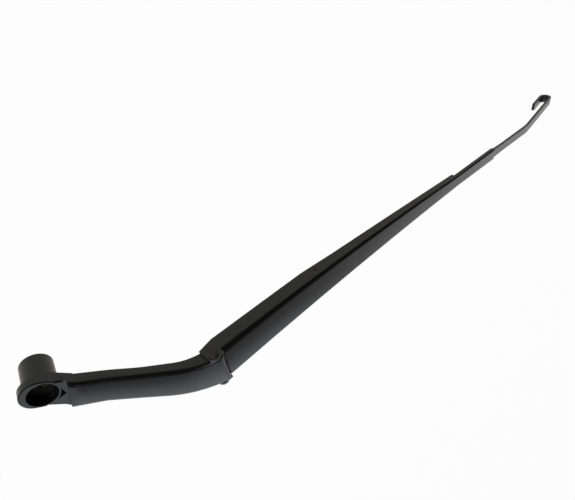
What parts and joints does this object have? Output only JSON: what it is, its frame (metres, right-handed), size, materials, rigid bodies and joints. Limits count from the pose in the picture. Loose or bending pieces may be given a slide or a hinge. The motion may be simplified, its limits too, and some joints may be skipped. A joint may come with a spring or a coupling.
{
  "type": "wiper arm",
  "caption": "Folding windscreen wiper arm: cast cranked head with nut well, sprung pressed channel and flat rod with a J hook for the blade.",
  "frame": {"origin": "spindle axis at the seat of the nut, the floor of the head's well", "axes": "+Z along the spindle, away from the windscreen; +X along the channel in plan, towards the blade; +Y along the hinge pin"},
  "size_m": [0.6563, 0.0843, 0.1242],
  "materials": {
    "head_paint": "satin black paint on a casting",
    "channel_paint": "satin black paint on pressed sheet",
    "rod_paint": "satin black paint on flat bar",
    "pin_steel": "blackened",
    "link_steel": "zinc plated",
    "spring_steel": "oiled wire",
    "bush_plastic": "matte black"
  },
  "bodies": {
    "head": {"arm_head": "head_paint", "hinge_bush_a": "bush_plastic", "hinge_bush_b": "bush_plastic", "anchor_pin": "pin_steel"},
    "arm": {"channel": "channel_paint", "blade_rod": "rod_paint", "hinge_pin": "pin_steel", "spring_pin": "pin_steel"},
    "link": {"spring_link": "link_steel"},
    "spring": {"tension_spring": "spring_steel"}
  },
  "joints": [
    {"name": "arm_fold", "type": "hinge", "parent": "head", "child": "arm", "pos_m": [0.1122, -0.0526, 0.0227], "axis": [0, -1, 0], "range_deg": [0, 75], "stiffness_Nm_per_rad": 0.4, "springref_deg": -57.3},
    {"name": "link_swing", "type": "hinge", "parent": "head", "child": "link", "pos_m": [0.10752, -0.0526, 0.01626], "axis": [0, -1, 0], "range_deg": [0, 71.3]},
    {"name": "spring_swing", "type": "hinge", "parent": "arm", "child": "spring", "pos_m": [0.2265, -0.0526, -0.00795], "axis": [0, -1, 0], "range_deg": [-4.1, 0]}
  ],
  "couplings": [
    {"joint": "link_swing", "follows": "arm_fold", "ratio": 0.94818},
    {"joint": "spring_swing", "follows": "arm_fold", "ratio": -0.05182}
  ]
}
